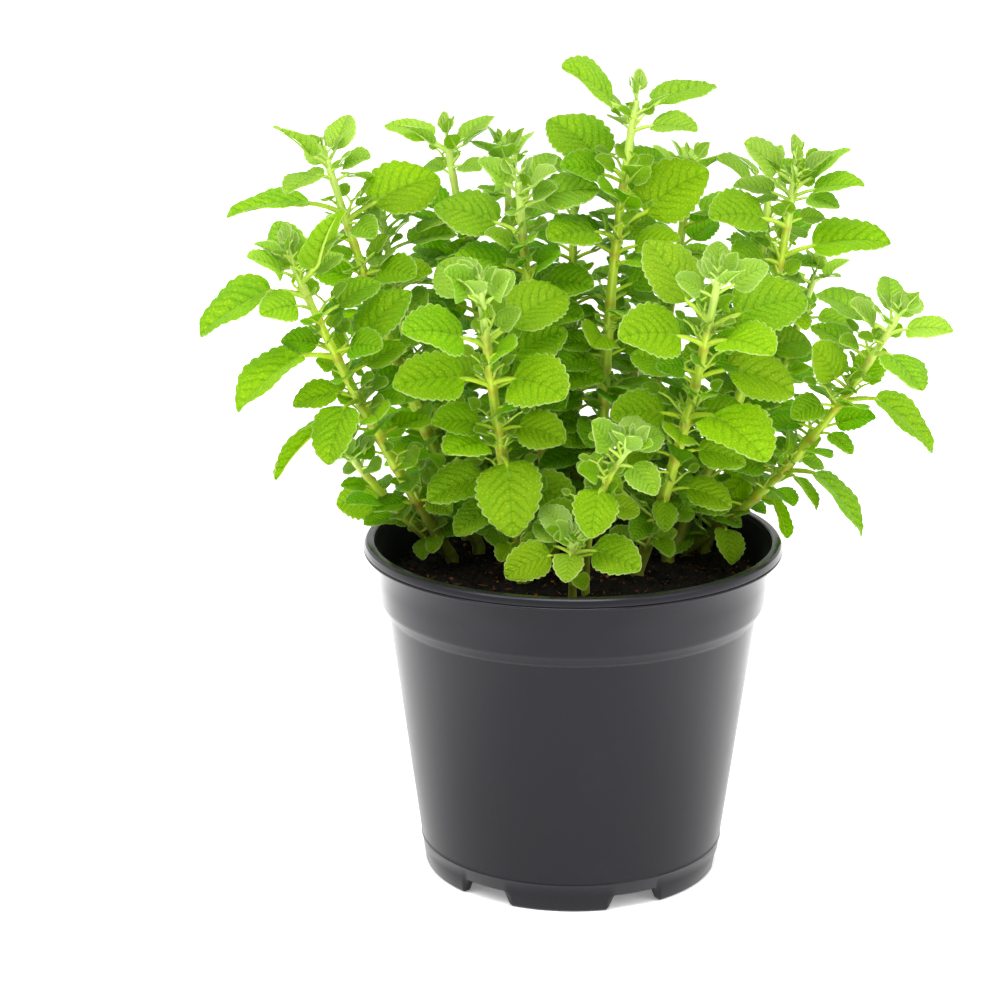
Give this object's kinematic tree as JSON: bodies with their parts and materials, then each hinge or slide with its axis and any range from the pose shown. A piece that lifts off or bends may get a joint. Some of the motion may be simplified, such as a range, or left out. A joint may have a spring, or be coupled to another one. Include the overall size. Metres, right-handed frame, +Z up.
{
  "type": "potted oregano",
  "caption": "Bushy oregano plant with many leafy stems, rooted in soil that fills a round black plastic nursery pot with a rolled rim and a notched foot ring.",
  "frame": {"origin": "on the pot's vertical axis, at the surface that the foot ring stands on", "axes": "+Z up along the pot's axis, -Y towards the front of the plant, +X to its right seen from the front"},
  "size_m": [0.2236, 0.1335, 0.2549],
  "materials": {
    "pot_plastic": "satin black injection-moulded plastic",
    "peat": "loose dark brown peat with lighter fibres",
    "foliage": "soft yellow-green leaves with fine hairs, on paler stems"
  },
  "bodies": {
    "root": {"pot": "pot_plastic", "soil": "peat", "stem_tall_centre": "foliage", "stem_front_left": "foliage", "stem_front_right": "foliage", "stem_right_top": "foliage", "stem_far_right": "foliage", "stem_left_top": "foliage", "stem_left": "foliage", "stem_low_left": "foliage", "stem_left_inner": "foliage", "stem_centre_left": "foliage", "stem_centre_back": "foliage", "stem_centre_front": "foliage", "stem_back_middle": "foliage", "stem_back_right": "foliage", "stem_right_inner": "foliage", "stem_right_low": "foliage", "sprig_front": "foliage", "sprig_front_low": "foliage", "stem_rear_left": "foliage", "stem_rear_mid_left": "foliage", "stem_rear_mid_right": "foliage", "stem_rear_right": "foliage"}
  },
  "joints": []
}
